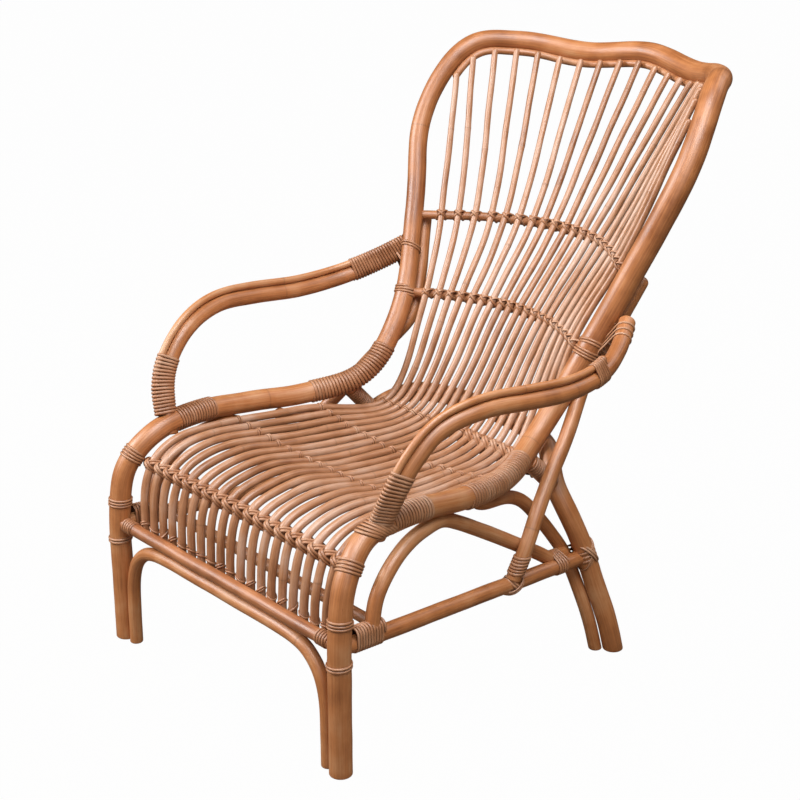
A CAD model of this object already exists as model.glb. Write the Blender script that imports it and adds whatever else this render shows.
"""The looks of a bare cane lounge armchair: bent round poles, thin canes and split-cane lashings.

Every rod of the frame is redrawn as a smooth round pole on the middle line of its faceted solid, and
every binding as a wound strand. The small ties, knots and bands, which the frame has no nodes for, are
added here.
"""

import bpy
import numpy as np
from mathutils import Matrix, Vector


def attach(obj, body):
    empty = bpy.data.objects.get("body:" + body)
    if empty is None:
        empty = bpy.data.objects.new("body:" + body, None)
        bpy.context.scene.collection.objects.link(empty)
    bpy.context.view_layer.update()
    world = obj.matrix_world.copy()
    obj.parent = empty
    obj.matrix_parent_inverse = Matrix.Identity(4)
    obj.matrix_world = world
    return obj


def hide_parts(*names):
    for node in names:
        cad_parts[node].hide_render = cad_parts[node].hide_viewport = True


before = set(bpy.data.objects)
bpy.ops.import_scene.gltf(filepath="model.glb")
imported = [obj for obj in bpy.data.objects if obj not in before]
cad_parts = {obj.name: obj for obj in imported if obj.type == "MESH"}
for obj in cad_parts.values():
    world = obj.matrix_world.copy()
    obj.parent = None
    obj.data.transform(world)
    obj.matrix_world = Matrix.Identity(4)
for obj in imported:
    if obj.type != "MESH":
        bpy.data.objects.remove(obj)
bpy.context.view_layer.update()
SEED = 11
draw = np.random.default_rng(SEED)

SIDES = ("right", "left")
CANE_COUNT = 19
CANES = [f"cane_{i:02d}" for i in range(1, CANE_COUNT + 1)]
MM = 0.001

# Split cane of the wraps: width, thickness, room over the pole below, steps in one turn
STRAND_WIDTH = 4.9 * MM
STRAND_THICK = 2.1 * MM
STRAND_ROOM = 0.15 * MM
TURN_STEPS = 40

# Finer strand of the ties on the canes: width, thickness, steps in one loop
TIE_WIDTH = 3.7 * MM
TIE_THICK = 1.8 * MM
LOOP_STEPS = 30

# Arch of a strand: share of its thickness that is pressed into the pole, and dark of its points from edge
# to edge, since its edges lie deep between the turns. A tucked end starts at a share of its size and gains
# a full size in some steps.
PRESSED = 0.12
EDGE_MARK = np.array([2.6, 1.1, 0.0, 0.0, 0.0, 1.1, 2.6])
TUCKED = 0.25
TUCK_STEPS = 5.0

# Outline of a bundle: directions that are tried, and the least cosine between a direction and the strand
FACINGS = 360
LEAST_COSINE = 0.12

# Outline of a loop: directions that are tried, sharpness of its hump, and the least share of the upper and
# of the lower rod's width that a skewed loop may see
LOOP_FACINGS = 720
HUMP_POWER = 3
LEAST_OVER = 0.5
LEAST_UNDER = 0.62

# Finish of a rod's end: softened edge and its greatest share of the radius, share of the radius that a
# tip's rounding takes, rings of the rounding, length that a sunk end runs into its neighbour
EDGE = 2.2 * MM
EDGE_SHARE = 0.5
TIP_SHARE = 0.8
END_RINGS = 6
SUNK = 4.0 * MM

# Least rise per length that the lean of a foot is worked out for
LEAST_RISE = 0.2

# Sides round a rod, by slot, and distance between its rings
ROUND = {"pole": 40, "rail": 24, "cane": 16}
RING_STEP = 6.0 * MM

# Natural growth, by slot: waviness of the line and of the girth, swelling and spacing of the knuckles
WAVE = {"pole": 0.25 * MM, "rail": 0.4 * MM, "cane": 0.55 * MM}
GIRTH_WAVE = {"pole": 0.012, "rail": 0.02, "cane": 0.035}
SWELL = {"pole": 0.006, "rail": 0.02, "cane": 0.05}
KNUCKLES = {"pole": (0.5, 0.9), "rail": (0.3, 0.5), "cane": (0.3, 0.55)}
KNUCKLE_WIDTH = 4.5 * MM
KNUCKLE_LINE = 1.3 * MM
KNUCKLE_RINGS = np.array([-4.0, -2.0, -0.9, 0.0, 0.9, 2.0, 4.0]) * MM
KNUCKLE_CLEAR = 30.0 * MM

# Wave lengths of the girth and of the line in its two cross directions, and the calm stretch at each end
GIRTH_LENGTHS = (0.21, 0.083, 0.047)
LINE_LENGTHS = ((0.31, 0.13), (0.27, 0.11))
CALM = 50.0 * MM

# Tone of a rod and of a strand: range of its own shade, wave lengths and size of its slow change. The grain
# of each piece is shifted along it by up to the last value.
ROD_TONE = (0.0, 1.0)
ROD_TONE_LENGTHS = (0.37, 0.19)
ROD_TONE_CHANGE = 0.18
STRAND_TONE = (0.15, 0.85)
STRAND_TONE_LENGTHS = (0.11, 0.043)
STRAND_TONE_CHANGE = 0.22
GRAIN_SHIFT = 50.0

# Girth of grown cane against its CAD solid, at shares of the length: canes thin out towards their tips,
# and the hoop, bent from one pole, is thin in its left stile and stout in its right one.
EVEN_GROWTH = ((0.0, 1.0), (1.0, 1.0))
CANE_GROWTH = ((0.0, 0.3, 0.6, 1.0), (1.12, 1.1, 0.95, 0.88))
HOOP_GROWTH = (
    (0.0, 0.08, 0.14, 0.3, 0.5, 0.72, 0.88, 0.955, 1.0),
    (1.0, 1.0, 0.92, 0.92, 1.0, 1.14, 1.14, 1.0, 1.0),
)
GROWTH = {cane: CANE_GROWTH for cane in CANES}
GROWTH["back_hoop"] = HOOP_GROWTH

# Rods of the frame: node, slot, finish of the lower or left end and of the other end.
# A foot stands on the floor, a sunk end runs into its neighbour, a tip is rounded off.
RODS = [
    ("back_hoop", "pole", "plain", "plain"),
    ("rear_leg_hoop", "pole", "foot", "foot"),
    ("front_inner_arch", "pole", "foot", "foot"),
    ("front_rail", "rail", "sunk", "sunk"),
    ("front_edge_rail", "rail", "plain", "plain"),
    ("front_seat_rail", "rail", "sunk", "sunk"),
    ("middle_seat_rail", "rail", "sunk", "sunk"),
    ("rear_seat_rail", "rail", "plain", "plain"),
    ("low_cross_rail", "rail", "sunk", "sunk"),
    ("lower_back_rail", "rail", "sunk", "sunk"),
    ("upper_back_rail", "rail", "sunk", "sunk"),
    ("back_liner", "rail", "tip", "tip"),
]
for side in SIDES:
    RODS += [
        (f"{side}_side_pole", "pole", "foot", "plain"),
        (f"{side}_arm", "pole", "sunk", "plain"),
        (f"{side}_arm_companion", "pole", "tip", "tip"),
        (f"{side}_stretcher", "pole", "sunk", "sunk"),
        (f"{side}_side_arch", "pole", "sunk", "sunk"),
        (f"{side}_back_brace", "pole", "sunk", "tip"),
        (f"{side}_rear_link", "pole", "sunk", "sunk"),
        (f"{side}_rear_knee", "pole", "foot", "tip"),
    ]
RODS += [(cane, "cane", "tip", "tip") for cane in CANES]

# Reading of a solid: distance within which corners are one, greatest distance between the rings of its end
# face, distance between the points of a rod's line, points tried on each span of its curve
MERGED = 0.01 * MM
FACE_STEP = 2.5 * MM
LINE_STEP = 2.0 * MM
SPAN_POINTS = 12

# Ends drawn longer or shorter than their CAD solids: the edge rail stays behind the legs, the arm's post
# runs on beside the side pole, the side arch lies down along the stretcher and the knee's tip runs into the
# pole. The points are those of the right side, in metres.
RECUT_STEP = 16.0 * MM
REDRAWN_SPANS = 24
EDGE_RAIL_CUT = 10.0 * MM
POST_DEEPER = 30.0 * MM
ARCH_REAR = [(0.2365, 0.028, 0.1765), (0.2405, 0.008, 0.1785)]
KNEE_TIP = [(0.2325, -0.146, 0.3135), (0.237, -0.163, 0.322)]


# Lines

def unit(vectors):
    """Each vector divided by its length."""
    return vectors / np.linalg.norm(vectors, axis=-1, keepdims=True)


def distances(points):
    """Distance along a polyline at each of its points."""
    steps = np.linalg.norm(np.diff(points, axis=0), axis=1)
    return np.concatenate([[0.0], np.cumsum(steps)])


def resampled(points, step):
    """The polyline with its points set at equal distances of about step."""
    along = distances(points)
    count = max(2, int(round(along[-1] / step)) + 1)
    even = np.linspace(0.0, along[-1], count)
    return np.stack([np.interp(even, along, points[:, k]) for k in range(3)], axis=1)


def smooth_line(points, step):
    """Natural cubic through the points over their chord length: on each span the two end points are
    weighted by a and b, and the two curvatures by (a^3 - a) and (b^3 - b) times a sixth of the span
    squared."""
    if len(points) == 2:
        return resampled(points, step)
    knots = distances(points)
    span = np.diff(knots)
    count = len(points)
    inner = np.arange(1, count - 1)
    system = np.eye(count)
    system[inner, inner - 1] = span[:-1]
    system[inner, inner] = 2.0 * (span[:-1] + span[1:])
    system[inner, inner + 1] = span[1:]
    slopes = np.diff(points, axis=0) / span[:, None]
    right = np.zeros((count, 3))
    right[1:-1] = 6.0 * np.diff(slopes, axis=0)
    curvature = np.linalg.solve(system, right)
    fine = np.linspace(0.0, knots[-1], SPAN_POINTS * count)
    i = np.clip(np.searchsorted(knots, fine, side="right") - 1, 0, count - 2)
    a = ((knots[i + 1] - fine) / span[i])[:, None]
    b = 1.0 - a
    bend = ((a**3 - a) * curvature[i] + (b**3 - b) * curvature[i + 1]) * (span[i] ** 2)[:, None] / 6.0
    return resampled(a * points[i] + b * points[i + 1] + bend, step)


class Rod:
    """A round rod: points at equal distances on a smooth line, with directions carried along it so that
    they turn with the line and never twist about it."""

    def __init__(self, points, radius, growth=EVEN_GROWTH):
        self.radius = radius
        self.growth = growth
        self.points = smooth_line(np.asarray(points, float), LINE_STEP)
        self.along = distances(self.points)
        self.length = self.along[-1]
        self.tangents = unit(np.gradient(self.points, axis=0))
        first = self.tangents[0]
        across = np.eye(3)[np.argmin(np.abs(first))]
        normal = unit(across - first * (across @ first))
        normals = [normal]
        for tangent in self.tangents[1:]:
            normal = unit(normal - tangent * (normal @ tangent))
            normals.append(normal)
        self.normals = np.array(normals)

    def at(self, along):
        """Point, tangent and the two cross directions at each distance. Beyond an end the line runs on
        straight."""
        inside = np.clip(along, 0.0, self.length)
        picked = [
            np.stack([np.interp(inside, self.along, table[:, k]) for k in range(3)], axis=-1)
            for table in (self.points, self.tangents, self.normals)
        ]
        point, tangent, normal = picked
        tangent = unit(tangent)
        normal = unit(normal - tangent * np.sum(normal * tangent, axis=-1, keepdims=True))
        point = point + tangent * np.asarray(along - inside)[..., None]
        return point, tangent, normal, np.cross(tangent, normal)

    def girth(self, along):
        """Radius at a distance along the rod, with its growth."""
        return self.radius * np.interp(along / self.length, *self.growth)

    def nearest(self, point):
        """Distance along the rod where its line is nearest to a point, or to each of many."""
        gaps = np.linalg.norm(np.asarray(point)[..., None, :] - self.points, axis=-1)
        return self.along[np.argmin(gaps, axis=-1)]

    def at_height(self, height):
        """Distance along the rod where it first passes a height."""
        above = self.points[:, 2] >= height
        return self.along[np.argmax(above)]


def corners_of(node):
    """Merged corners of a CAD node and its triangles."""
    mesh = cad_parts[node].data
    corners = np.empty(len(mesh.vertices) * 3)
    mesh.vertices.foreach_get("co", corners)
    corners = corners.reshape(-1, 3)
    loops = np.empty(len(mesh.loops), np.int64)
    mesh.loops.foreach_get("vertex_index", loops)
    keys = np.round(corners / MERGED).astype(np.int64)
    _, first, merged = np.unique(keys, axis=0, return_index=True, return_inverse=True)
    return corners[first], merged.reshape(-1)[loops].reshape(-1, 3)


def rod_of(node):
    """The rod in a faceted solid. Its corners are sorted by their number of edges from one end's middle,
    the corner whose neighbours all have five edges, and each layer is one ring round the line. The inner
    rings of an end's face, which follow each other closely, are left out. The rod runs from its lower end,
    or if they are level to the millimetre from its front or left end, to the other one."""
    corners, triangles = corners_of(node)
    count = len(corners)
    joined = np.zeros((count, count), bool)
    for a, b in ((0, 1), (1, 2), (2, 0)):
        joined[triangles[:, a], triangles[:, b]] = True
    joined |= joined.T
    edges = joined.sum(axis=1)
    five = edges == 5
    middles = np.flatnonzero(~(joined & ~five).any(axis=1))
    layer = np.full(count, -1)
    front = np.zeros(count, bool)
    front[middles[0]] = True
    depth = 0
    while front.any():
        layer[front] = depth
        front = joined[front].any(axis=0) & (layer < 0)
        depth += 1
    rings = [corners[layer == k] for k in range(1, depth - 1)]
    centres = np.array([ring.mean(axis=0) for ring in rings])
    body = np.flatnonzero(np.linalg.norm(np.diff(centres, axis=0), axis=1) > FACE_STEP)
    kept = slice(body[0], body[-1] + 2)
    line = centres[kept]
    axes = unit(np.gradient(line, axis=0))
    spokes = np.array(rings[kept]) - line[:, None]
    spokes = spokes - axes[:, None] * np.sum(spokes * axes[:, None], axis=-1, keepdims=True)
    radius = np.median(np.linalg.norm(spokes, axis=-1).mean(axis=1))
    ends = [tuple(np.round(end[[2, 1, 0]], 3)) for end in (line[0], line[-1])]
    return Rod(line if ends[0] <= ends[1] else line[::-1], radius, GROWTH.get(node, EVEN_GROWTH))


def span_on(rod, node):
    """First and last distance along a rod that a CAD binding covers."""
    along = rod.nearest(corners_of(node)[0])
    return along.min(), along.max()


def recut(rod, start, stop):
    """The rod between two distances along it. Beyond an end it runs on straight."""
    count = int((stop - start) / RECUT_STEP)
    return Rod(rod.at(np.linspace(start, stop, count))[0], rod.radius, rod.growth)


def drawn_out(rod, before, after):
    """The rod with more points before its first one and after its last one."""
    kept = rod.points[:: len(rod.points) // REDRAWN_SPANS]
    return Rod(np.concatenate([before, kept, after]), rod.radius, rod.growth)


rods = {node: rod_of(node) for node, *_ in RODS}
edge_rail = rods["front_edge_rail"]
rods["front_edge_rail"] = recut(edge_rail, EDGE_RAIL_CUT, edge_rail.length - EDGE_RAIL_CUT)
no_points = np.empty((0, 3))
for side, mirror in (("right", 1.0), ("left", -1.0)):
    flip = np.array([mirror, 1.0, 1.0])
    arm = rods[f"{side}_arm"]
    rods[f"{side}_arm"] = recut(arm, -POST_DEEPER, arm.length)
    arch = rods[f"{side}_side_arch"]
    rods[f"{side}_side_arch"] = drawn_out(arch, flip * ARCH_REAR, no_points)
    knee = rods[f"{side}_rear_knee"]
    rods[f"{side}_rear_knee"] = drawn_out(knee, no_points, flip * KNEE_TIP)


# Meshes

def put(name, data):
    """A new object of the scene."""
    thing = bpy.data.objects.new(name, data)
    bpy.context.scene.collection.objects.link(thing)
    return thing


def sheet_faces(count, sides, closed, base):
    """Quads between neighbouring rings of a tube, facing outwards, with their rows and columns."""
    rows = count if closed else count - 1
    i, j = (grid.ravel() for grid in np.meshgrid(np.arange(rows), np.arange(sides), indexing="ij"))
    up = (i + 1) % count
    on = (j + 1) % sides
    quads = np.stack([i * sides + j, i * sides + on, up * sides + on, up * sides + j], axis=1) + base
    return quads, i, j


def put_piece(name, strips, slot, replaced=()):
    """One mesh from tubes of equal sides. A strip has rings (n, k, 3), the distance along it, the tone at
    each ring, the mark at each ring or point, and whether it closes on itself. Open ends get a fan to their
    middle point. The map has the distance round the tube as u and the distance along it as v, in metres.
    A sixth of the distance round is about the radius, which is how far the map runs on over an end."""
    points, quads, fans, quad_map, fan_map, tones, marks = [], [], [], [], [], [], []
    base = 0
    for strip in strips:
        rings = strip["rings"]
        count, sides = rings.shape[:2]
        closed = strip.get("closed", False)
        round_step = np.linalg.norm(rings[count // 2, 1] - rings[count // 2, 0])
        along = strip["along"] + strip["shift"]
        further = np.append(along, 2 * along[-1] - along[-2])
        faces, i, j = sheet_faces(count, sides, closed, base)
        u = np.stack([j, j + 1, j + 1, j], axis=1) * round_step
        v = further[np.stack([i, i, i + 1, i + 1], axis=1)]
        quads.append(faces)
        quad_map.append(np.stack([u, v], axis=-1))
        points.append(rings.reshape(-1, 3))
        tones.append(np.repeat(strip["tone"], sides))
        mark = np.broadcast_to(strip["mark"].reshape(count, -1), (count, sides))
        marks.append(mark.ravel())
        base += count * sides
        if closed:
            continue
        rim = np.arange(sides)
        on = (rim + 1) % sides
        first = base - count * sides
        last = base - sides
        fans.append(np.stack([np.full(sides, base), first + on, first + rim], axis=1))
        fans.append(np.stack([np.full(sides, base + 1), last + rim, last + on], axis=1))
        for end, columns in ((along[0], (rim, rim + 1, rim)), (along[-1], (rim, rim, rim + 1))):
            u = np.stack(columns, axis=1) * round_step
            v = end + np.array([sides * round_step / 6, 0.0, 0.0]) + np.zeros_like(u)
            fan_map.append(np.stack([u, v], axis=-1))
        points.append(rings[[0, -1]].mean(axis=1))
        tones.append(strip["tone"][[0, -1]])
        marks.append(mark[[0, -1]].mean(axis=1))
        base += 2
    piece = put(name, new_mesh(name, points, quads, fans, quad_map, fan_map, tones, marks))
    piece.data.materials.append(FINISH[slot])
    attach(piece, "root")
    if replaced:
        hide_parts(*replaced)


def new_mesh(name, points, quads, fans, quad_map, fan_map, tones, marks):
    """A mesh from whole arrays of corners, faces, map and attributes."""
    points = np.concatenate(points)
    quads = np.concatenate(quads)
    fans = np.concatenate(fans) if fans else np.empty((0, 3), np.int64)
    maps = [np.concatenate(quad_map).reshape(-1, 2)]
    if len(fans):
        maps.append(np.concatenate(fan_map).reshape(-1, 2))
    mesh = bpy.data.meshes.new(name)
    mesh.vertices.add(len(points))
    mesh.vertices.foreach_set("co", points.astype(np.float32).ravel())
    mesh.loops.add(quads.size + fans.size)
    mesh.loops.foreach_set("vertex_index", np.concatenate([quads.ravel(), fans.ravel()]).astype(np.int32))
    mesh.polygons.add(len(quads) + len(fans))
    starts = np.concatenate([np.arange(len(quads)) * 4, quads.size + np.arange(len(fans)) * 3])
    mesh.polygons.foreach_set("loop_start", starts.astype(np.int32))
    mesh.update(calc_edges=True)
    layer = mesh.uv_layers.new(name="UVMap")
    layer.data.foreach_set("uv", np.concatenate(maps).astype(np.float32).ravel())
    for label, values in (("tone", tones), ("mark", marks)):
        attribute = mesh.attributes.new(label, "FLOAT", "POINT")
        attribute.data.foreach_set("value", np.concatenate(values).astype(np.float32))
    mesh.shade_smooth()
    return mesh


# Rods with the waves, knuckles and end finishes of grown cane

def waves(along, lengths, size):
    """Slow wander: a sum of sines over the distance with drawn phases, of the given wave lengths."""
    total = np.zeros_like(along)
    for length in lengths:
        total += np.sin(2 * np.pi * along / length + draw.uniform(0, 2 * np.pi))
    return size * total / len(lengths)


def end_rows(radius, finish):
    """Rings of a softened end: a quarter circle from the end face to the full girth, as the distance from
    the end and the loss of radius. A tip's quarter circle takes most of the radius."""
    size = TIP_SHARE * radius if finish == "tip" else min(EDGE, EDGE_SHARE * radius)
    turn = np.linspace(0.0, np.pi / 2, END_RINGS)
    return size * (1 - np.cos(turn)), size * (1 - np.sin(turn))


def rod_strip(rod, slot, start, end):
    """A circle carried along the rod's line. Its radius follows the growth, waves and knuckles, its ends
    are softened, and a foot's rings slide along the line onto level planes."""
    radius = rod.radius
    low = -SUNK if start == "sunk" else 0.0
    high = rod.length + (SUNK if end == "sunk" else 0.0)
    rise_low, inset_low = end_rows(radius, start)
    rise_high, inset_high = end_rows(radius, end)
    _, tangent, _, _ = rod.at(np.array([0.0, rod.length]))
    lean = np.sqrt(1 - tangent[:, 2] ** 2) / np.maximum(np.abs(tangent[:, 2]), LEAST_RISE)
    clear_low = rise_low[-1] + (radius * lean[0] + EDGE if start == "foot" else 0.0)
    clear_high = rise_high[-1] + (radius * lean[1] + EDGE if end == "foot" else 0.0)
    gap = draw.uniform(*KNUCKLES[slot], size=int(rod.length / KNUCKLES[slot][0]) + 2)
    knuckles = np.cumsum(gap) - draw.uniform(0.0, KNUCKLES[slot][0])
    knuckles = knuckles[(knuckles > KNUCKLE_CLEAR) & (knuckles < rod.length - KNUCKLE_CLEAR)]
    count = int((high - low) / RING_STEP)
    middle = np.linspace(low + clear_low, high - clear_high, count)
    near = (knuckles[:, None] + KNUCKLE_RINGS).ravel()
    near = near[(near > middle[1]) & (near < middle[-2])]
    body = np.unique(np.concatenate([middle[1:-1], near]))
    first = np.zeros(END_RINGS) if start == "foot" else low + rise_low
    last = np.full(END_RINGS, rod.length) if end == "foot" else high - rise_high[::-1]
    along = np.concatenate([first, body, last])
    inset = np.concatenate([inset_low, np.zeros(len(body)), inset_high[::-1]])
    bump = np.exp(-(((along[:, None] - knuckles) / KNUCKLE_WIDTH) ** 2)).sum(axis=1)
    mark = np.exp(-(((along[:, None] - knuckles) / KNUCKLE_LINE) ** 2)).sum(axis=1)
    fade = np.clip(np.minimum(along - low, high - along) / CALM, 0.0, 1.0)
    girth = rod.girth(along) * (1 + GIRTH_WAVE[slot] * waves(along, GIRTH_LENGTHS, 1.0) * fade)
    girth = girth + radius * SWELL[slot] * bump - inset
    centre, tangent, normal, binormal = rod.at(along)
    for direction, lengths in zip((normal, binormal), LINE_LENGTHS):
        centre = centre + direction * (waves(along, lengths, WAVE[slot]) * fade)[:, None]
    angle = (2 * np.pi * np.arange(ROUND[slot]) / ROUND[slot])[None, :, None]
    spoke = normal[:, None] * np.cos(angle) + binormal[:, None] * np.sin(angle)
    rings = centre[:, None] + girth[:, None, None] * spoke
    low_rows = slice(0, END_RINGS)
    high_rows = slice(-END_RINGS, None)
    for finish, rows, rise in ((start, low_rows, rise_low), (end, high_rows, rise_high[::-1])):
        if finish == "foot":
            slide = (rise[:, None] - rings[rows, :, 2]) / tangent[rows, None, 2]
            rings[rows] += slide[..., None] * tangent[rows, None, :]
    tone = draw.uniform(*ROD_TONE) + waves(along, ROD_TONE_LENGTHS, ROD_TONE_CHANGE)
    shift = draw.uniform(0, GRAIN_SHIFT)
    return {"rings": rings, "along": along, "shift": shift, "tone": tone, "mark": mark}


# Strands

def strand(points, normals, width, thick, closed=False):
    """A split cane: a low arch, width across and thick high, carried along a line with its flat side down.
    Open ends narrow over their last steps, as a strand does where it is tucked in."""
    if closed:
        tangents = np.roll(points, -1, axis=0) - np.roll(points, 1, axis=0)
    else:
        tangents = np.gradient(points, axis=0)
    tangents = unit(tangents)
    across = unit(np.cross(normals, tangents))
    up = np.cross(tangents, across)
    turn = np.linspace(0.0, np.pi, len(EDGE_MARK))
    x = 0.5 * width * np.cos(turn)
    y = thick * np.sin(turn) - PRESSED * thick
    count = len(points)
    size = np.ones(count)
    if not closed:
        from_end = np.minimum(np.arange(count), np.arange(count)[::-1])
        size = np.clip(TUCKED + from_end / TUCK_STEPS, 0.0, 1.0)
    rings = points[:, None] + size[:, None, None] * (
        across[:, None] * x[None, :, None] + up[:, None] * y[None, :, None]
    )
    along = distances(points)
    tone = draw.uniform(*STRAND_TONE) + waves(along, STRAND_TONE_LENGTHS, STRAND_TONE_CHANGE)
    return {
        "rings": rings,
        "along": along,
        "shift": draw.uniform(0, GRAIN_SHIFT),
        "tone": tone,
        "mark": np.tile(EDGE_MARK, (count, 1)),
        "closed": closed,
    }


def wrap(bundle, start, stop, turns, width=STRAND_WIDTH, thick=STRAND_THICK, phase=0.0, slant=0.0):
    """A strand wound round a bundle of rods, from start to stop along the first one. In the plane across
    that rod the bundle's outline is the hull of its circles: its height h over a direction is the greatest
    reach of any circle, and the strand's distance from the middle at an angle is the least
    h / cos(difference). The direction that the strand faces is the mean over three neighbours."""
    lead = bundle[0]
    count = int(turns * TURN_STEPS) + 1
    share = np.linspace(0.0, 1.0, count)
    base = start + (stop - start) * share
    angle = phase + 2 * np.pi * turns * share
    centre, tangent, normal, binormal = lead.at(base)
    places, reaches = [np.zeros((count, 2))], [lead.girth(base)]
    for rod in bundle[1:]:
        where = rod.nearest(centre)
        offset = rod.at(where)[0] - centre
        places.append(np.stack([np.sum(offset * way, axis=1) for way in (normal, binormal)], axis=1))
        reaches.append(rod.girth(where))
    middle = np.mean(places, axis=0)
    facing = np.linspace(0.0, 2 * np.pi, FACINGS + 1)[:-1]
    compass = np.stack([np.cos(facing), np.sin(facing)])
    rims = [(place - middle) @ compass + reach[:, None] for place, reach in zip(places, reaches)]
    heights = np.max(rims, axis=0)
    turned = np.cos(angle[:, None] - facing[None, :])
    ratio = np.where(turned > LEAST_COSINE, heights / np.maximum(turned, LEAST_COSINE), np.inf)
    best = np.argmin(ratio, axis=1)
    reach = ratio[np.arange(count), best] + STRAND_ROOM
    out = np.stack([np.cos(facing[best]), np.sin(facing[best])], axis=1)
    kernel = np.ones(3) / 3
    padded = np.pad(out, ((1, 1), (0, 0)), mode="edge")
    out = np.stack([np.convolve(padded[:, k], kernel, mode="valid") for k in range(2)], axis=1)
    spot = middle + reach[:, None] * np.stack([np.cos(angle), np.sin(angle)], axis=1)
    points = centre + normal * spot[:, :1] + binormal * spot[:, 1:]
    points = points + tangent * (slant * np.sin(angle - phase))[:, None]
    normals = unit(normal * out[:, :1] + binormal * out[:, 1:])
    return strand(points, normals, width, thick)


def loop(origin, across, out, forms, shift=0.0, lift=0.0, hump=0.0, width=TIE_WIDTH, thick=TIE_THICK):
    """A closed tie round what lies in the plane of across and out. Each form is an ellipse: its middle
    along out, its half width and its half height. The outline is their hull, from the greatest reach h over
    each direction and its change: point = h * direction + h' * side. It is raised by lift all round and by
    hump on its two faces, and shifted out of its plane."""
    facing = np.linspace(0.0, 2 * np.pi, LOOP_FACINGS + 1)[:-1]
    c, s = np.cos(facing), np.sin(facing)
    h = np.max([mid * s + np.sqrt((wide * c) ** 2 + (high * s) ** 2) for mid, wide, high in forms], axis=0)
    h = h + STRAND_ROOM + lift + hump * np.abs(s) ** HUMP_POWER
    change = (np.roll(h, -1) - np.roll(h, 1)) / (2 * (facing[1] - facing[0]))
    flat = np.stack([h * c - change * s, h * s + change * c], axis=1)
    closed = np.vstack([flat, flat[:1]])
    along = distances(closed)
    even = np.linspace(0.0, along[-1], LOOP_STEPS + 1)[:-1]
    x, y = (np.interp(even, along, closed[:, k]) for k in range(2))
    turn = np.interp(even, along, np.append(facing, 2 * np.pi))
    third = np.cross(out, across)
    points = origin + x[:, None] * across + y[:, None] * out + shift * third
    normals = np.cos(turn)[:, None] * across + np.sin(turn)[:, None] * out
    return strand(points, normals, width, thick, closed=True)


def crossing(over, under):
    """Nearest points of two rods that cross: distance along each."""
    gaps = np.linalg.norm(over.points[:, None] - under.points[None], axis=-1)
    i, j = np.unravel_index(np.argmin(gaps), gaps.shape)
    return over.along[i], under.along[j]


def tie(over, under, skew, **options):
    """A loop round the crossing of two rods, skewed from the lower rod's direction by degrees."""
    s_over, s_under = crossing(over, under)
    top, lengthwise, _, _ = over.at(s_over)
    foot, sideways, _, _ = under.at(s_under)
    out = np.cross(sideways, lengthwise)
    out = unit(out * np.sign(out @ (top - foot)))
    lengthwise = unit(lengthwise - out * (lengthwise @ out))
    sideways = unit(sideways - out * (sideways @ out))
    angle = np.radians(skew)
    across = unit(np.cos(angle) * sideways + np.sin(angle) * lengthwise)
    high_over = over.girth(s_over)
    high_under = under.girth(s_under)
    wide_over = high_over / max(abs(across @ np.cross(lengthwise, out)), LEAST_OVER)
    wide_under = high_under / max(abs(across @ np.cross(sideways, out)), LEAST_UNDER)
    forms = [((top - foot) @ out, wide_over, high_over), (0.0, wide_under, high_under)]
    return loop(foot, across, out, forms, **options)


def rings_round(rod, middle, count, pitch, width=TIE_WIDTH, thick=TIE_THICK, slant=0.0):
    """A short wrap of a few turns about a place on one rod."""
    half = 0.5 * count * pitch
    phase = draw.uniform(0, 2 * np.pi)
    return wrap([rod], middle - half, middle + half, count, width, thick, phase, slant)


# Materials

def new_group(name, inputs, outputs):
    """A shader node group with named sockets."""
    group = bpy.data.node_groups.new(name, "ShaderNodeTree")
    for label, kind in inputs:
        group.interface.new_socket(label, in_out="INPUT", socket_type=kind)
    for label, kind in outputs:
        group.interface.new_socket(label, in_out="OUTPUT", socket_type=kind)
    return group, group.nodes.new("NodeGroupInput"), group.nodes.new("NodeGroupOutput")


def feed(tree, socket, value):
    """Links a socket to another one's value, or sets a plain value."""
    if isinstance(value, bpy.types.NodeSocket):
        tree.links.new(value, socket)
    else:
        socket.default_value = value


def math(tree, operation, a, b, clamp=False):
    """A math node; a and b are sockets or numbers."""
    node = tree.nodes.new("ShaderNodeMath")
    node.operation = operation
    node.use_clamp = clamp
    feed(tree, node.inputs[0], a)
    feed(tree, node.inputs[1], b)
    return node.outputs[0]


def noise(tree, vector, scale=1.0, detail=3.0, roughness=0.55):
    """A noise value about a half."""
    node = tree.nodes.new("ShaderNodeTexNoise")
    node.inputs["Scale"].default_value = scale
    node.inputs["Detail"].default_value = detail
    node.inputs["Roughness"].default_value = roughness
    tree.links.new(vector, node.inputs["Vector"])
    return node.outputs["Fac"]


def scaled(tree, vector, factors):
    """A vector with each part multiplied."""
    node = tree.nodes.new("ShaderNodeVectorMath")
    node.operation = "MULTIPLY"
    node.inputs[1].default_value = factors
    tree.links.new(vector, node.inputs[0])
    return node.outputs[0]


def spread(tree, value, low, high):
    """A value stretched from low..high to 0..1 and clamped."""
    node = tree.nodes.new("ShaderNodeMapRange")
    node.inputs["From Min"].default_value = low
    node.inputs["From Max"].default_value = high
    tree.links.new(value, node.inputs["Value"])
    return node.outputs["Result"]


def blend(tree, share, a, b, kind="MIX"):
    """Two colours mixed by a share. A Mix node has its colours at inputs 6 and 7 and output 2."""
    node = tree.nodes.new("ShaderNodeMix")
    node.data_type = "RGBA"
    node.blend_type = kind
    for index, value in ((0, share), (6, a), (7, b)):
        feed(tree, node.inputs[index], value)
    return node.outputs[2]


# Grain on the map, in waves per metre round and along the rod (the map has no third direction), and grain
# in space, in waves per metre
FIBRE_WAVES = (420, 9, 1)
FINE_WAVES = (1500, 34, 1)
PORE_WAVES = (900, 95, 1)
MOTTLE_WAVES = 26.0
CLOUD_WAVES = 6.5

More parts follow.
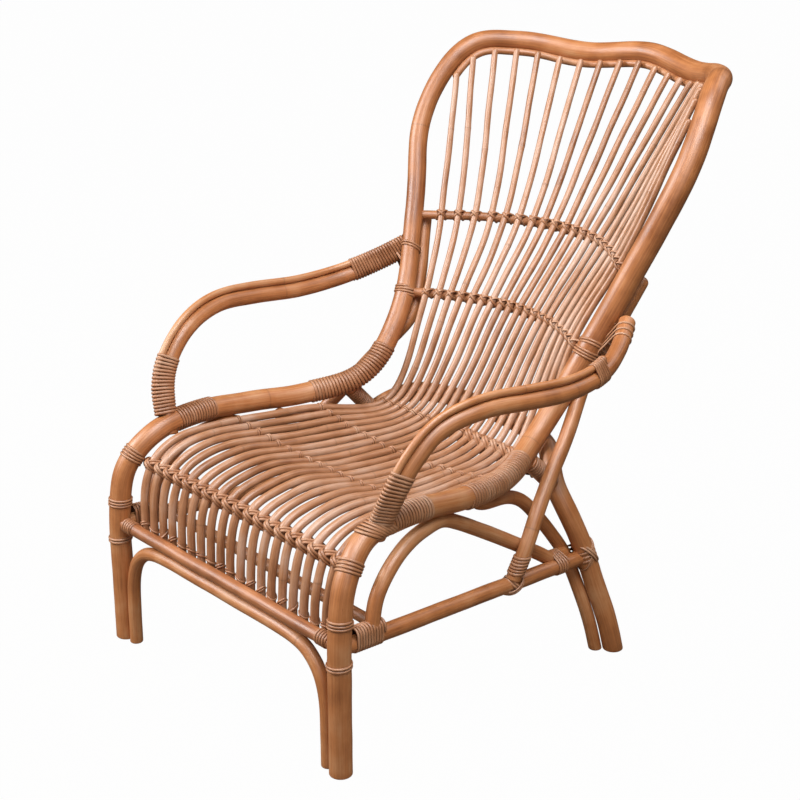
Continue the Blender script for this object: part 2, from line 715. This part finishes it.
# Range of each noise that is stretched to full contrast
FIBRE_RANGE = (0.3, 0.7)
PORE_RANGE = (0.64, 0.74)
MOTTLE_RANGE = (0.32, 0.68)
CLOUD_RANGE = (0.34, 0.66)

# Shares of the grains and of the piece's own tone in its shade, what is taken off their sum, and the shade
# at which the middle colour stands
FIBRE_SHADE = 0.36
FINE_SHADE = 0.12
MOTTLE_SHADE = 0.22
CLOUD_SHADE = 0.24
TONE_SHADE = 0.3
LESS_SHADE = 0.1
MIDDLE_SHADE = 0.5

# Dark of the pores and of a mark, and what a mark leaves of the dark colour
PORE_DARK = 0.42
MARK_DARK = 0.3
MARK_LEAVES = (0.42, 0.36, 0.33, 1.0)

# Roughness added by mottling and pores, height of the grains, and depth of the whole bump
MOTTLE_ROUGH = 0.12
PORE_ROUGH = 0.15
FIBRE_HEIGHT = 0.6
FINE_HEIGHT = 0.3
PORE_DEPTH = 0.5
MARK_DEPTH = 0.5
BUMP_DEPTH = 0.5 * MM

# Strength of the skin's shine
SHINE = 1.0


def grain_group():
    """Grain of cane: long fibres on the map, stretched along the rod, mottling on the object's own place,
    short dark pores, and a dark line at each mark: a rod's knuckles and a strand's edges. It puts out
    colour, roughness and height."""
    group, given, result = new_group(
        "cane_grain",
        [
            ("Map", "NodeSocketVector"),
            ("Place", "NodeSocketVector"),
            ("Tone", "NodeSocketFloat"),
            ("Mark", "NodeSocketFloat"),
            ("Light", "NodeSocketColor"),
            ("Middle", "NodeSocketColor"),
            ("Dark", "NodeSocketColor"),
            ("Gloss", "NodeSocketFloat"),
        ],
        [("Color", "NodeSocketColor"), ("Roughness", "NodeSocketFloat"), ("Height", "NodeSocketFloat")],
    )
    on_map = given.outputs["Map"]
    place = given.outputs["Place"]
    mark = given.outputs["Mark"]
    dark = given.outputs["Dark"]
    fibre = noise(group, scaled(group, on_map, FIBRE_WAVES), detail=4.0, roughness=0.6)
    fibre = spread(group, fibre, *FIBRE_RANGE)
    fine = spread(group, noise(group, scaled(group, on_map, FINE_WAVES), detail=2.0), *FIBRE_RANGE)
    pores = spread(group, noise(group, scaled(group, on_map, PORE_WAVES), detail=2.0), *PORE_RANGE)
    mottle = spread(group, noise(group, place, MOTTLE_WAVES, detail=4.0), *MOTTLE_RANGE)
    cloud = spread(group, noise(group, place, CLOUD_WAVES), *CLOUD_RANGE)
    mixed = math(group, "MULTIPLY", fibre, FIBRE_SHADE)
    shares = (
        (fine, FINE_SHADE),
        (mottle, MOTTLE_SHADE),
        (cloud, CLOUD_SHADE),
        (given.outputs["Tone"], TONE_SHADE),
    )
    for value, share in shares:
        mixed = math(group, "ADD", mixed, math(group, "MULTIPLY", value, share))
    mixed = math(group, "SUBTRACT", mixed, LESS_SHADE)
    colour = blend(group, spread(group, mixed, 0.0, MIDDLE_SHADE), dark, given.outputs["Middle"])
    colour = blend(group, spread(group, mixed, MIDDLE_SHADE, 1.0), colour, given.outputs["Light"])
    colour = blend(group, math(group, "MULTIPLY", pores, PORE_DARK), colour, dark)
    deep = blend(group, 1.0, dark, MARK_LEAVES, "MULTIPLY")
    colour = blend(group, math(group, "MULTIPLY", mark, MARK_DARK, clamp=True), colour, deep)
    group.links.new(colour, result.inputs["Color"])
    rough = math(group, "ADD", given.outputs["Gloss"], math(group, "MULTIPLY", mottle, MOTTLE_ROUGH))
    rough = math(group, "ADD", rough, math(group, "MULTIPLY", pores, PORE_ROUGH))
    group.links.new(rough, result.inputs["Roughness"])
    height = math(group, "MULTIPLY", fibre, FIBRE_HEIGHT)
    height = math(group, "ADD", height, math(group, "MULTIPLY", fine, FINE_HEIGHT))
    height = math(group, "SUBTRACT", height, math(group, "MULTIPLY", pores, PORE_DEPTH))
    height = math(group, "SUBTRACT", height, math(group, "MULTIPLY", mark, MARK_DEPTH))
    group.links.new(height, result.inputs["Height"])
    return group


def cane_material(group, name, light, middle, dark, gloss, bump):
    """A satin cane finish: the grain group on a Principled shader, with the height as a shallow bump."""
    material = bpy.data.materials.new(name)
    material.use_nodes = True
    tree = material.node_tree
    shader = tree.nodes["Principled BSDF"]
    grain = tree.nodes.new("ShaderNodeGroup")
    grain.node_tree = group
    for label, colour in (("Light", light), ("Middle", middle), ("Dark", dark)):
        grain.inputs[label].default_value = (*colour, 1.0)
    grain.inputs["Gloss"].default_value = gloss
    chart = tree.nodes.new("ShaderNodeUVMap")
    chart.uv_map = "UVMap"
    tree.links.new(chart.outputs["UV"], grain.inputs["Map"])
    place = tree.nodes.new("ShaderNodeTexCoord")
    tree.links.new(place.outputs["Object"], grain.inputs["Place"])
    for label, socket in (("tone", "Tone"), ("mark", "Mark")):
        reader = tree.nodes.new("ShaderNodeAttribute")
        reader.attribute_name = label
        tree.links.new(reader.outputs["Fac"], grain.inputs[socket])
    lift = tree.nodes.new("ShaderNodeBump")
    lift.inputs["Strength"].default_value = bump
    lift.inputs["Distance"].default_value = BUMP_DEPTH
    tree.links.new(grain.outputs["Height"], lift.inputs["Height"])
    tree.links.new(grain.outputs["Color"], shader.inputs["Base Color"])
    tree.links.new(grain.outputs["Roughness"], shader.inputs["Roughness"])
    tree.links.new(lift.outputs["Normal"], shader.inputs["Normal"])
    shader.inputs["Specular IOR Level"].default_value = SHINE
    return material


# Skins, by slot: name, light, middle and dark colour, roughness, strength of the bump
SKINS = {
    "pole": ("pole_skin", (0.64, 0.35, 0.175), (0.48, 0.178, 0.055), (0.2, 0.053, 0.011), 0.38, 0.35),
    "rail": ("rail_skin", (0.55, 0.29, 0.15), (0.41, 0.15, 0.05), (0.17, 0.046, 0.011), 0.4, 0.4),
    "cane": ("thin_cane_skin", (0.59, 0.39, 0.285), (0.44, 0.2, 0.093), (0.19, 0.057, 0.014), 0.35, 0.4),
    "binding": ("split_cane", (0.58, 0.355, 0.225), (0.44, 0.19, 0.082), (0.19, 0.058, 0.016), 0.42, 0.5),
}
grain = grain_group()
FINISH = {slot: cane_material(grain, *skin) for slot, skin in SKINS.items()}


# Rods of the chair

for node, slot, start, end in RODS:
    put_piece(f"{node}_round", [rod_strip(rods[node], slot, start, end)], slot, [node])


# Wraps that stand for the frame's bindings

def lashing(name, strips, replaced=()):
    """A piece of strands."""
    put_piece(name, strips, "binding", replaced)


def bind(node, bundle, before, beyond, turns, **options):
    """A wrap in the place of a CAD binding, which it outreaches at its two ends."""
    low, high = span_on(bundle[0], node)
    lashing(f"{node}_wrap", [wrap(bundle, low - before, high + beyond, turns, **options)], [node])


# Step between the points of a line that are kept where it is drawn anew, points left out at each side of a
# splice, and places along a stile where its growth is read
THIN_OUT = 8
SPLICE = 6
STILE_PLACES = 41


def joined(first, second):
    """One rod along two that are spliced end to end."""
    points = np.concatenate([first.points[:-SPLICE:THIN_OUT], second.points[SPLICE::THIN_OUT]])
    return Rod(points, first.radius)


# The hoop runs from the left stile's foot over the top to the right one's. Each stile is one half of it.
hoop = rods["back_hoop"]
half_hoop = len(hoop.points) // 2
shares = np.linspace(0.0, 1.0, STILE_PLACES)
left_growth = (shares, np.interp(0.5 * shares, *HOOP_GROWTH))
right_growth = (shares, np.interp(1 - 0.5 * shares, *HOOP_GROWTH))
stiles = {
    "left": Rod(hoop.points[:half_hoop:THIN_OUT], hoop.radius, left_growth),
    "right": Rod(hoop.points[:half_hoop:-THIN_OUT], hoop.radius, right_growth),
}

# Wraps: length beyond the CAD binding, turns, and the width or slant of a strand where it differs. At the
# right post a second strand, whose turns lie level, goes round the side pole before and after the post.
DOWN = np.array([0.0, 0.0, -1.0])
POST_BELOW = {"right": 26.0 * MM, "left": 22.0 * MM}
POST_ABOVE = {"right": 0.0, "left": 16.0 * MM}
POST_TURNS = {"right": 15.3, "left": 17.3}
POST_WIDTH = 5.3 * MM
POST_FOOT = (20.0 * MM, 18.0 * MM)
POST_FOOT_TURNS = 7.2
POST_FOOT_SLANT = 14.0 * MM
SEAT_MORE = 4.0 * MM
SEAT_TURNS = 14.4
BEND_BEFORE = {"right": 55.0 * MM, "left": 0.0}
BEND_BEYOND = {"right": 10.0 * MM, "left": 60.0 * MM}
BEND_TURNS = 27.4
BEND_WIDTH = 5.8 * MM
REAR_BEYOND = {"right": 0.0, "left": 12.0 * MM}
REAR_TURNS = {"right": 6.6, "left": 21.6}
FRONT_RAIL_SPAN = (3.0 * MM, 27.0 * MM)
FRONT_RAIL_TURNS = 4.5
FRONT_RAIL_WIDTH = 4.8 * MM
STRETCHER_MORE = 28.0 * MM
STRETCHER_TURNS = 10.6
BRACE_TURNS = 6.2
BRACE_SLANT = 4.0 * MM
for side in SIDES:
    arm = rods[f"{side}_arm"]
    companion = rods[f"{side}_arm_companion"]
    pole = rods[f"{side}_side_pole"]
    foot = [rods[f"{side}_stretcher"], rods[f"{side}_side_arch"]]
    bend = joined(pole, stiles[side])
    reach = (BEND_BEFORE[side], BEND_BEYOND[side])
    node = f"{side}_arm_post_binding"
    low, high = span_on(arm, node)
    ends = (low - POST_BELOW[side], high + POST_ABOVE[side])
    strands = [wrap([arm, companion], *ends, POST_TURNS[side], POST_WIDTH)]
    if side == "right":
        where = pole.nearest(arm.points[0])
        _, _, normal, binormal = pole.at(where)
        phase = np.arctan2(DOWN @ binormal, DOWN @ normal) - np.pi / 2
        ends = (where - POST_FOOT[0], where + POST_FOOT[1])
        strands.append(wrap([pole], *ends, POST_FOOT_TURNS, POST_WIDTH, phase=phase, slant=POST_FOOT_SLANT))
    lashing(f"{node}_wrap", strands, [node])
    bind(f"{side}_seat_front_binding", [pole], SEAT_MORE, SEAT_MORE, SEAT_TURNS)
    bind(f"{side}_rear_bend_binding", [bend], *reach, BEND_TURNS, width=BEND_WIDTH)
    bind(f"{side}_arm_rear_binding", [arm, companion], 0.0, REAR_BEYOND[side], REAR_TURNS[side])
    bind(f"{side}_stretcher_binding", foot, STRETCHER_MORE, 0.0, STRETCHER_TURNS)
    brace = rods[f"{side}_back_brace"]
    bind(f"{side}_brace_foot_binding", [brace], 0.0, 0.0, BRACE_TURNS, slant=BRACE_SLANT)
    rail = rods["front_rail"]
    low, high = FRONT_RAIL_SPAN
    if side == "right":
        low, high = rail.length - high, rail.length - low
    lashing(f"{side}_front_rail_wrap", [wrap([rail], low, high, FRONT_RAIL_TURNS, FRONT_RAIL_WIDTH)])


# Bands and cross lashings of the frame

# Bands: strand, then height and turns on the front legs, and turns on the stiles
BAND_PITCH = 4.7 * MM
BAND_WIDTH = 4.6 * MM
BAND_THICK = 2.3 * MM
LEG_BANDS = ((0.175, 2), (0.236, 3), (0.312, 4))
STILE_TURNS = 3

# Arms: band on the stile below the arm's end, wrap of the end and of the brace, and what it leaves bare
HOLD_BELOW = 10.0 * MM
HOLD_TURNS = 2
HOLD_SLANT = 7.0 * MM
ARM_END = {"right": 48.0 * MM, "left": 16.0 * MM}
ARM_END_BARE = 6.0 * MM
ARM_END_TURNS = {"right": 3.3, "left": 1.3}

# Rear ends of the side arches: points of the arch that lie on the stretcher, wrap before and after their
# middle, turns
ARCH_LYING = 20
ARCH_WRAP = (4.0 * MM, 20.0 * MM)
ARCH_WRAP_TURNS = 4.3

# Rear legs: half length and turns of the wrap round leg and knee. Rear links: pitch of their wrap.
LEG_WRAP = 12.0 * MM
LEG_WRAP_TURNS = 3.2
LINK_PITCH = 5.0 * MM

# Cross lashings: strand, shifts of its loops, skew in degrees at the brace and at the rear leg
LASH = {"width": 4.4 * MM, "thick": 2.1 * MM}
LASH_SHIFTS = (-2.2 * MM, 2.2 * MM)
BRACE_SKEW = 40
LEG_SKEW = 30


def band(rod, middle, count, slant=0.0):
    """A few turns of a stout strand round one rod."""
    return rings_round(rod, middle, count, BAND_PITCH, BAND_WIDTH, BAND_THICK, slant)


def crossed(over, under, skew, shifts, size):
    """Two sets of loops that cross on the face of two rods, the second lying on the first."""
    first = [tie(over, under, skew, shift=shift, **size) for shift in shifts]
    second = [tie(over, under, -skew, shift=shift, hump=size["thick"], **size) for shift in shifts]
    return first + second


rear = rods["rear_leg_hoop"]
back_rail = rods["lower_back_rail"]
for side in SIDES:
    pole = rods[f"{side}_side_pole"]
    stile = stiles[side]
    arm = rods[f"{side}_arm"]
    companion = rods[f"{side}_arm_companion"]
    stretcher = rods[f"{side}_stretcher"]
    arch = rods[f"{side}_side_arch"]
    brace = rods[f"{side}_back_brace"]
    link = rods[f"{side}_rear_link"]
    knee = rods[f"{side}_rear_knee"]
    lashing(f"{side}_leg_bands", [band(pole, pole.at_height(z), turns) for z, turns in LEG_BANDS])
    rail_end = back_rail.points[-1 if side == "right" else 0]
    lashing(f"{side}_stile_band", [band(stile, stile.nearest(rail_end), STILE_TURNS)])
    where = stile.nearest(companion.points[-1])
    lashing(f"{side}_arm_hold", [band(stile, where - HOLD_BELOW, HOLD_TURNS, HOLD_SLANT)])
    ends = (arm.length - ARM_END[side], arm.length - ARM_END_BARE)
    lashing(f"{side}_arm_end_wrap", [wrap([arm, brace], *ends, ARM_END_TURNS[side])])
    where = stretcher.nearest(0.5 * (arch.points[0] + arch.points[ARCH_LYING]))
    ends = (where - ARCH_WRAP[0], where + ARCH_WRAP[1])
    lashing(f"{side}_arch_rear_wrap", [wrap([stretcher, arch], *ends, ARCH_WRAP_TURNS)])
    lashing(f"{side}_brace_cross", crossed(brace, stretcher, BRACE_SKEW, LASH_SHIFTS, LASH))
    lashing(f"{side}_link_wrap", [wrap([link], 0.0, link.length, link.length / LINK_PITCH)])
    lashing(f"{side}_rear_leg_cross", crossed(stretcher, rear, LEG_SKEW, LASH_SHIFTS, LASH))
    where = rear.nearest(stretcher.points[0])
    ends = (where - LEG_WRAP, where + LEG_WRAP)
    lashing(f"{side}_rear_leg_band", [wrap([rear, knee], *ends, LEG_WRAP_TURNS)])


# Ties and knots of the canes

# Rings round the canes: turns and pitch on the seat rails, then height, turns and slant at the canes' feet
RING_TURNS = 2
RING_PITCH = 4.0 * MM
FOOT_TIE_Z = 0.209
FOOT_TIE_TURNS = 1.3
FOOT_TIE_SLANT = 5.0 * MM

# Bulky knots: strand and its lift, shifts of its loops, skew in degrees, and the first cane, counted from
# zero, that has one on the rear seat rail
KNOT = {"width": 5.2 * MM, "thick": 2.5 * MM, "lift": 0.75 * MM}
KNOT_SHIFTS = (-2.34 * MM, 2.34 * MM)
KNOT_SKEW = 40
BULKY_FROM = 11

# Crosses on the back rails: strand, shift of its one loop each way, skew in degrees
CROSS = {"width": 4.6 * MM, "thick": TIE_THICK}
CROSS_SHIFTS = (0.0,)
CROSS_SKEW = 42


def knot(cane, rail):
    """A bulky knot: two strands one way, two over them the other way."""
    return crossed(cane, rail, KNOT_SKEW, KNOT_SHIFTS, KNOT)


def ring(cane, rail):
    """A plain tie round a cane where it crosses a rail."""
    return rings_round(cane, crossing(cane, rail)[0], RING_TURNS, RING_PITCH)


canes = [rods[name] for name in CANES]
lashing("front_edge_knots", sum((knot(cane, rods["front_edge_rail"]) for cane in canes), []))
for row in ("front_seat_rail", "middle_seat_rail"):
    lashing(f"{row}_ties", [ring(cane, rods[row]) for cane in canes])
rear_row = []
for index, cane in enumerate(canes):
    if index >= BULKY_FROM:
        rear_row += knot(cane, rods["rear_seat_rail"])
    else:
        rear_row.append(ring(cane, rods["rear_seat_rail"]))
lashing("rear_seat_knots", rear_row)
for row in ("lower_back_rail", "upper_back_rail"):
    crosses = []
    for cane in canes:
        crosses += crossed(cane, rods[row], CROSS_SKEW, CROSS_SHIFTS, CROSS)
    lashing(f"{row}_crosses", crosses)
foot_ties = []
for cane in canes:
    where = cane.at_height(FOOT_TIE_Z)
    foot_ties.append(rings_round(cane, where, FOOT_TIE_TURNS, RING_PITCH, slant=FOOT_TIE_SLANT))
lashing("cane_foot_ties", foot_ties)


# Stage, light and camera

# Floor: half its width, colour that it lends to the light below the chair, roughness, shine, and the share
# of its brightness for the camera that is its own
STAGE_HALF = 8.0
FLOOR_COLOUR = (0.17, 0.125, 0.085, 1.0)
FLOOR_ROUGH = 0.9
FLOOR_SHINE = 0.1
FLOOR_OWN = 0.985
WHITE = (1.0, 1.0, 1.0, 1.0)
# Light of the sky on the chair. The camera sees it as white.
AMBIENT = 0.03


def seen(tree):
    """One for rays from the camera, which see the background as white."""
    return tree.nodes.new("ShaderNodeLightPath").outputs["Is Camera Ray"]


def floor_material():
    """A floor that the camera sees as near white, because most of that brightness is its own. The rest
    keeps the shadows."""
    material = bpy.data.materials.new("pale_floor")
    material.use_nodes = True
    tree = material.node_tree
    shader = tree.nodes["Principled BSDF"]
    shader.inputs["Base Color"].default_value = FLOOR_COLOUR
    shader.inputs["Roughness"].default_value = FLOOR_ROUGH
    shader.inputs["Specular IOR Level"].default_value = FLOOR_SHINE
    glow = tree.nodes.new("ShaderNodeEmission")
    glow.inputs["Color"].default_value = WHITE
    mix = tree.nodes.new("ShaderNodeMixShader")
    tree.links.new(math(tree, "MULTIPLY", seen(tree), FLOOR_OWN), mix.inputs[0])
    tree.links.new(shader.outputs[0], mix.inputs[1])
    tree.links.new(glow.outputs[0], mix.inputs[2])
    tree.links.new(mix.outputs[0], tree.nodes["Material Output"].inputs["Surface"])
    return material


floor_mesh = bpy.data.meshes.new("floor")
corners = [(-1, -1), (1, -1), (1, 1), (-1, 1)]
floor_mesh.from_pydata([(STAGE_HALF * x, STAGE_HALF * y, 0.0) for x, y in corners], [], [(0, 1, 2, 3)])
floor_mesh.materials.append(floor_material())
floor = put("floor", floor_mesh)

world = bpy.data.worlds.new("studio")
bpy.context.scene.world = world
world.use_nodes = True
sky = world.node_tree
ambient = sky.nodes["Background"]
ambient.inputs["Color"].default_value = WHITE
strength = math(sky, "ADD", math(sky, "MULTIPLY", seen(sky), 1.0 - AMBIENT), AMBIENT)
sky.links.new(strength, ambient.inputs["Strength"])

# Lamps: place, watts, width
LAMPS = {
    "key": ((-1.9, -2.5, 2.3), 122.0, 1.3),
    "top": ((1.1, -0.8, 3.1), 108.0, 1.9),
    "fill": ((2.8, -1.6, 1.8), 14.0, 1.8),
    "rim": ((0.6, 2.4, 2.8), 21.0, 1.6),
}
AIM = Vector((0.0, 0.0, 0.45))
for name, (place, watts, width) in LAMPS.items():
    lamp = bpy.data.lights.new(name, "AREA")
    lamp.energy = watts
    lamp.size = width
    holder = put(name, lamp)
    holder.location = place
    holder.rotation_euler = (Vector(place) - AIM).to_track_quat("Z", "Y").to_euler()

# Camera of the photo: directions to it from its target, the target, distance, lens and sensor in mm
AZIMUTH = np.radians(48.3)
ELEVATION = np.radians(21.3)
TARGET = Vector((0.0726, -0.1643, 0.4342))
DISTANCE = 2.6665
LENS = 80.0
SENSOR = 36.0
camera_data = bpy.data.cameras.new("camera")
camera_data.lens = LENS
camera_data.sensor_width = SENSOR
camera = put("camera", camera_data)
level = np.cos(ELEVATION)
back = Vector((np.sin(AZIMUTH) * level, -np.cos(AZIMUTH) * level, np.sin(ELEVATION)))
camera.location = TARGET + DISTANCE * back
camera.rotation_euler = back.to_track_quat("Z", "Y").to_euler()
bpy.context.scene.camera = camera
bpy.context.scene.view_settings.view_transform = "Standard"
